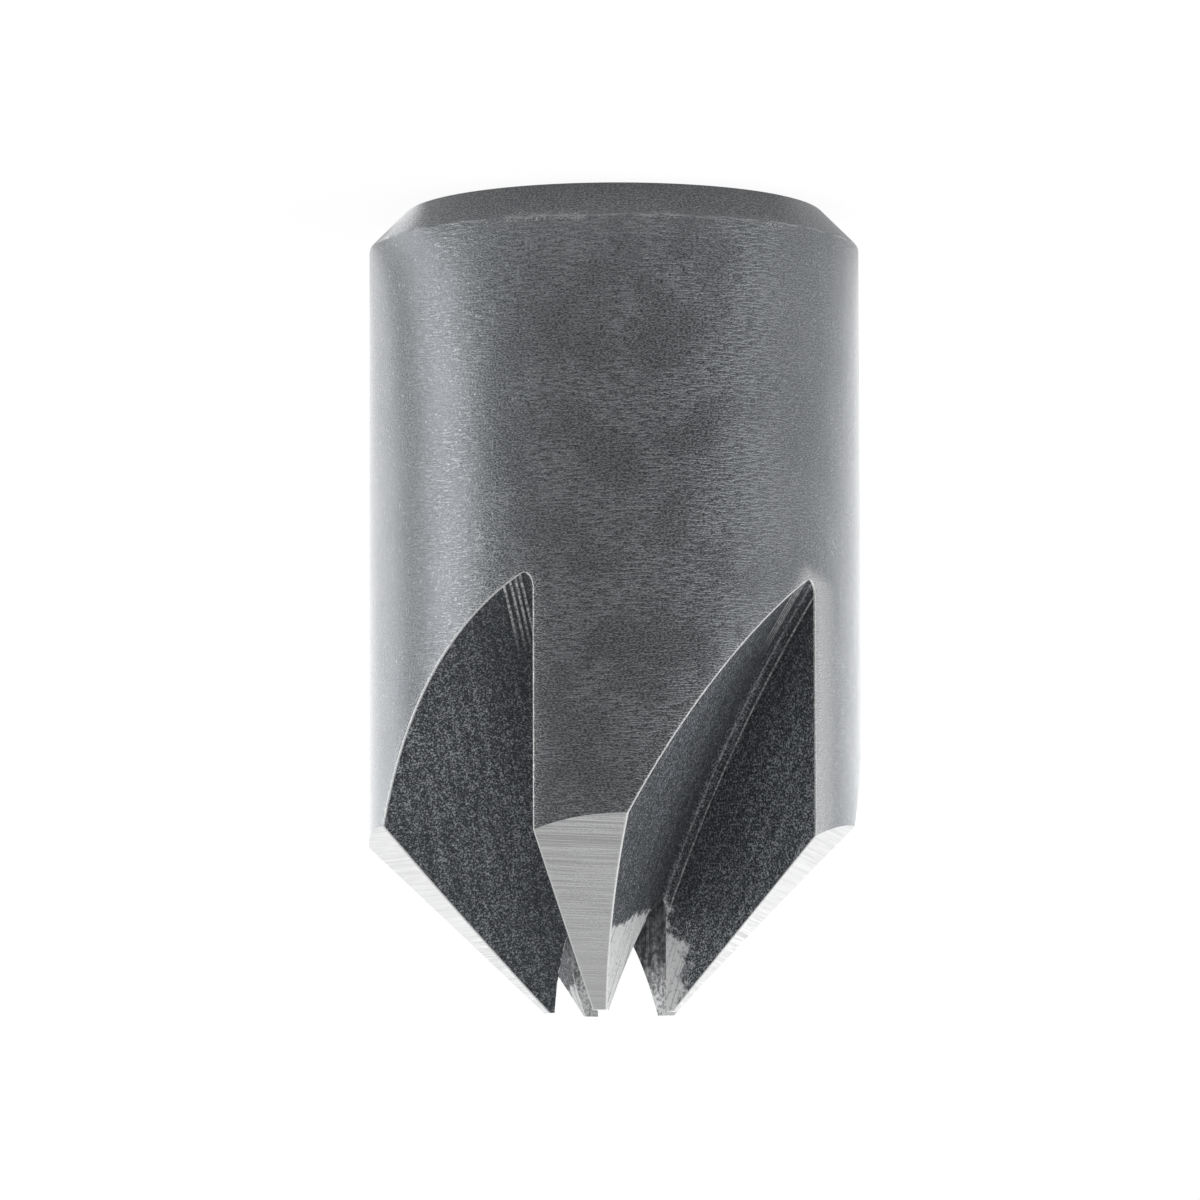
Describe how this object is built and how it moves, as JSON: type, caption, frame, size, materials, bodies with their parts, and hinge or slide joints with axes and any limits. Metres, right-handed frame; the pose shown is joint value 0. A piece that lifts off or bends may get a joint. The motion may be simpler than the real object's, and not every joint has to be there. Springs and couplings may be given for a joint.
{
  "type": "countersink bit",
  "caption": "Push-on countersink: hollow steel body with milled flutes and relieved cutting edges, clamped on a twist drill by a grub screw.",
  "frame": {"origin": "centre of the flat back face, on the axis of the drill bore", "axes": "+Z along the bore to the cutting tips; +X through the outer corner of one cutting edge; the clamping screw points out along +Y"},
  "size_m": [0.016, 0.016, 0.0262],
  "materials": {
    "tool_steel": "grey oxide from hardening, with bright ground cutting facets",
    "blackened_screw": "black oxide, slightly oily"
  },
  "bodies": {
    "root": {"countersink_body": "tool_steel", "grub_screw": "blackened_screw"}
  },
  "joints": []
}
